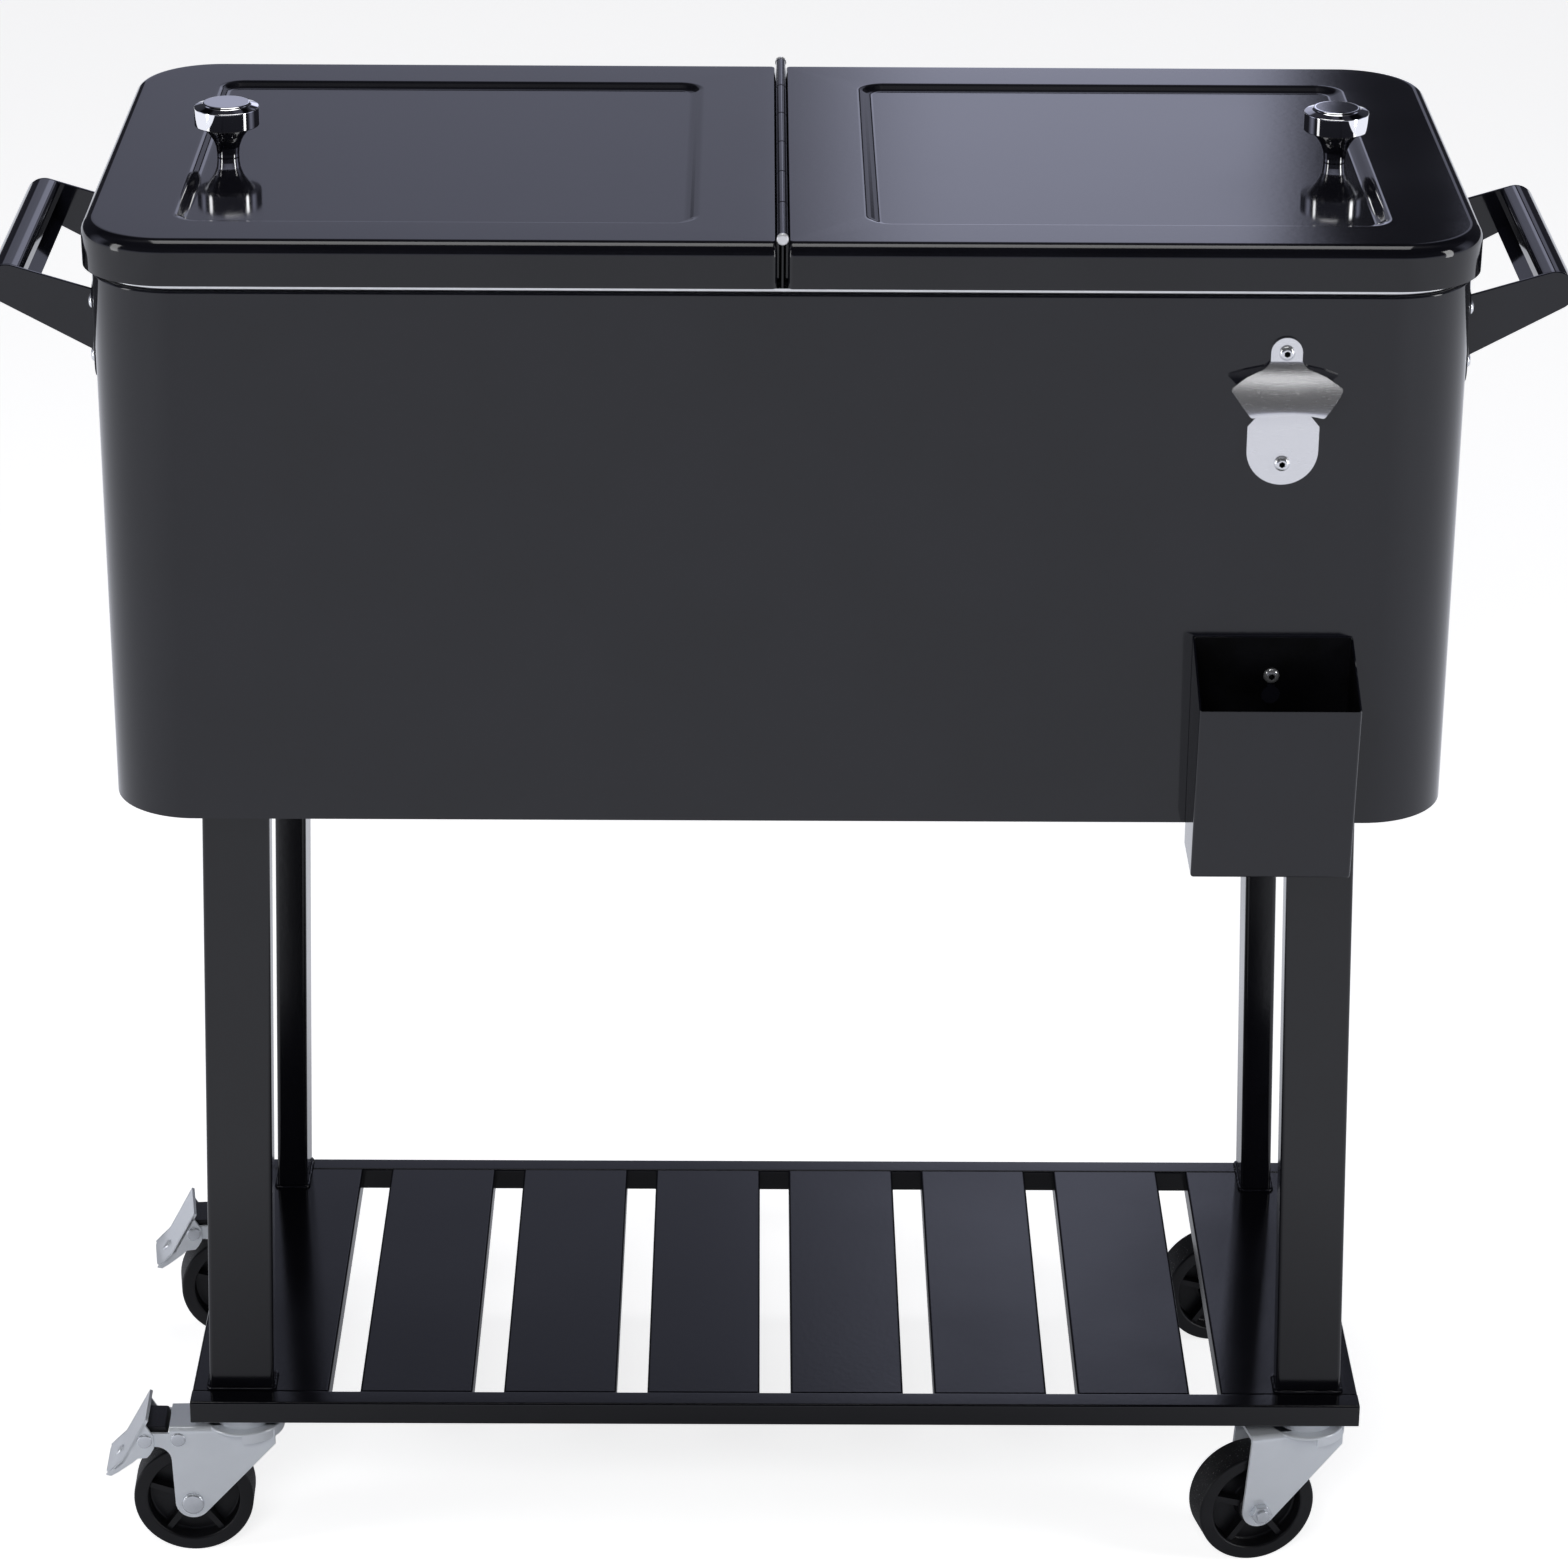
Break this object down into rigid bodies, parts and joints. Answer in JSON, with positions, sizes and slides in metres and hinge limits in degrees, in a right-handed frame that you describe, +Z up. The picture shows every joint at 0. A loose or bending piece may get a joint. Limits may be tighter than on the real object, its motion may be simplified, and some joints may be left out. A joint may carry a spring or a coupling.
{
  "type": "rolling patio cooler",
  "caption": "Insulated drinks cooler with hinged lids, bottle opener and cap catcher, on a slatted cart with swivel casters and foot brakes.",
  "frame": {"origin": "on the floor, below the middle of the whole object's box", "axes": "+X towards the viewer's right along the body, +Y towards the back, +Z up"},
  "size_m": [0.9152, 0.4442, 0.9046],
  "materials": {
    "gloss_black_paint": "gloss baked enamel on sheet steel",
    "white_tub_plastic": "moulded, slightly glossy",
    "insulating_foam": "rigid foamed insulation, matt, fine cells",
    "bright_trim_steel": "bright rolled sheet",
    "seal_rubber": "soft, matt",
    "opener_steel": "brushed, edges polished",
    "chrome": "polished",
    "zinc_plated_steel": "zinc plated",
    "drain_plastic": "moulded, satin",
    "caster_zinc": "bright blue-white zinc on pressed steel",
    "wheel_plastic": "moulded, satin"
  },
  "bodies": {
    "root": {"outer_shell": "gloss_black_paint", "base_pan": "gloss_black_paint", "left_handle_plate": "gloss_black_paint", "right_handle_plate": "gloss_black_paint", "left_handle_bail": "gloss_black_paint", "right_handle_bail": "gloss_black_paint", "front_left_leg": "gloss_black_paint", "front_right_leg": "gloss_black_paint", "rear_left_leg": "gloss_black_paint", "rear_right_leg": "gloss_black_paint", "leg_plates": "gloss_black_paint", "front_shelf_rail": "gloss_black_paint", "rear_shelf_rail": "gloss_black_paint", "left_shelf_rail": "gloss_black_paint", "right_shelf_rail": "gloss_black_paint", "shelf_slats": "gloss_black_paint", "hinge_centre_leaf": "gloss_black_paint", "tub_liner": "white_tub_plastic", "insulation_foam": "insulating_foam", "rim_trim": "bright_trim_steel", "lid_crossbar": "bright_trim_steel", "hinge_pin": "bright_trim_steel", "rim_gasket": "seal_rubber", "bottle_opener": "opener_steel", "front_screws": "chrome", "handle_screws": "chrome", "leg_bolts": "zinc_plated_steel", "drain_spout": "drain_plastic", "front_left_caster_raceway": "caster_zinc", "front_right_caster_raceway": "caster_zinc", "rear_left_caster_raceway": "caster_zinc", "rear_right_caster_raceway": "caster_zinc"},
    "left_lid": {"left_lid_skin": "gloss_black_paint", "left_lid_liner": "white_tub_plastic", "left_lid_foam": "insulating_foam", "left_hinge_leaf": "gloss_black_paint", "left_knob": "chrome", "left_knob_screw": "zinc_plated_steel"},
    "right_lid": {"right_lid_skin": "gloss_black_paint", "right_lid_liner": "white_tub_plastic", "right_lid_foam": "insulating_foam", "right_hinge_leaf": "gloss_black_paint", "right_knob": "chrome", "right_knob_screw": "zinc_plated_steel"},
    "cap_catcher": {"cap_catcher": "gloss_black_paint"},
    "drain_cap": {"drain_cap": "drain_plastic"},
    "front_left_fork": {"front_left_caster_fork": "caster_zinc", "front_left_caster_axle": "caster_zinc"},
    "front_left_wheel": {"front_left_caster_wheel": "wheel_plastic"},
    "front_left_pedal": {"front_left_caster_pedal": "caster_zinc"},
    "front_right_fork": {"front_right_caster_fork": "caster_zinc", "front_right_caster_axle": "caster_zinc"},
    "front_right_wheel": {"front_right_caster_wheel": "wheel_plastic"},
    "rear_left_fork": {"rear_left_caster_fork": "caster_zinc", "rear_left_caster_axle": "caster_zinc"},
    "rear_left_wheel": {"rear_left_caster_wheel": "wheel_plastic"},
    "rear_left_pedal": {"rear_left_caster_pedal": "caster_zinc"},
    "rear_right_fork": {"rear_right_caster_fork": "caster_zinc", "rear_right_caster_axle": "caster_zinc"},
    "rear_right_wheel": {"rear_right_caster_wheel": "wheel_plastic"}
  },
  "joints": [
    {"name": "left_lid_hinge", "type": "hinge", "parent": "root", "child": "left_lid", "pos_m": [0, 0.0198, 0.8766], "axis": [0, 1, 0], "range_deg": [0, 82]},
    {"name": "right_lid_hinge", "type": "hinge", "parent": "root", "child": "right_lid", "pos_m": [0, 0.0198, 0.8766], "axis": [0, -1, 0], "range_deg": [0, 82]},
    {"name": "cap_catcher_lift", "type": "slide", "parent": "root", "child": "cap_catcher", "axis": [0, 0, 1], "range_m": [0, 0.012]},
    {"name": "drain_cap_turn", "type": "hinge", "parent": "root", "child": "drain_cap", "pos_m": [-0.25, 0.2042, 0.5564], "axis": [0, 1, 0], "continuous": true},
    {"name": "front_left_swivel", "type": "hinge", "parent": "root", "child": "front_left_fork", "pos_m": [-0.3328, -0.1148, 0.1], "axis": [0, 0, 1], "continuous": true},
    {"name": "front_left_spin", "type": "hinge", "parent": "front_left_fork", "child": "front_left_wheel", "pos_m": [-0.36579, -0.11566, 0.0375], "axis": [-0.0262, 0.9997, 0], "continuous": true},
    {"name": "front_left_brake", "type": "hinge", "parent": "front_left_fork", "child": "front_left_pedal", "pos_m": [-0.39398, -0.1164, 0.0841], "axis": [0.0262, -0.9997, 0], "range_deg": [0, 18]},
    {"name": "front_right_swivel", "type": "hinge", "parent": "root", "child": "front_right_fork", "pos_m": [0.3328, -0.1148, 0.1], "axis": [0, 0, 1], "continuous": true},
    {"name": "front_right_spin", "type": "hinge", "parent": "front_right_fork", "child": "front_right_wheel", "pos_m": [0.30071, -0.1225, 0.0375], "axis": [-0.2334, 0.9724, 0], "continuous": true},
    {"name": "rear_left_swivel", "type": "hinge", "parent": "root", "child": "rear_left_fork", "pos_m": [-0.3328, 0.1591, 0.1], "axis": [0, 0, 1], "continuous": true},
    {"name": "rear_left_spin", "type": "hinge", "parent": "rear_left_fork", "child": "rear_left_wheel", "pos_m": [-0.36548, 0.15451, 0.0375], "axis": [-0.1392, 0.9903, 0], "continuous": true},
    {"name": "rear_left_brake", "type": "hinge", "parent": "rear_left_fork", "child": "rear_left_pedal", "pos_m": [-0.3934, 0.15058, 0.0841], "axis": [0.1392, -0.9903, 0], "range_deg": [0, 18]},
    {"name": "rear_right_swivel", "type": "hinge", "parent": "root", "child": "rear_right_fork", "pos_m": [0.3328, 0.1591, 0.1], "axis": [0, 0, 1], "continuous": true},
    {"name": "rear_right_spin", "type": "hinge", "parent": "rear_right_fork", "child": "rear_right_wheel", "pos_m": [0.30052, 0.15224, 0.0375], "axis": [-0.2079, 0.9781, 0], "continuous": true}
  ]
}
